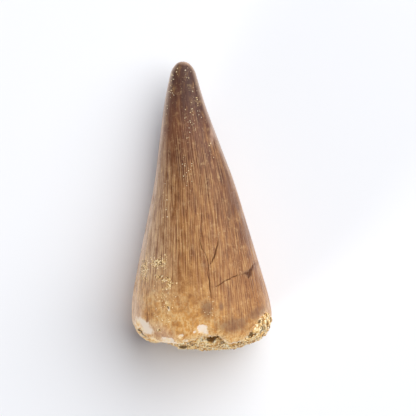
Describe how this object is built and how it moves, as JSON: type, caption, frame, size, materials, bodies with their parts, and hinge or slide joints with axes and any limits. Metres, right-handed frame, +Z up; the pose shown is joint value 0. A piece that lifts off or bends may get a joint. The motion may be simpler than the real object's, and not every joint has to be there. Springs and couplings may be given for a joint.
{
  "type": "fossil mosasaur tooth",
  "caption": "Fossil tooth crown with a worn tip and wrinkled enamel, broken at the base, where sandy rock fills the pulp cavity.",
  "frame": {"origin": "on the surface that the tooth lies on, under the middle of its outline", "axes": "+Y along the crown from its broken base to its tip, +Z up from its flatter side to its rounder side"},
  "size_m": [0.0242, 0.0498, 0.0194],
  "materials": {
    "enamel": "semi-gloss brown fossil enamel with fine lengthwise wrinkles, amber towards the base",
    "matrix": "matt grainy sandy phosphate rock"
  },
  "bodies": {
    "root": {"tooth_crown": "enamel", "matrix": "matrix"}
  },
  "joints": []
}
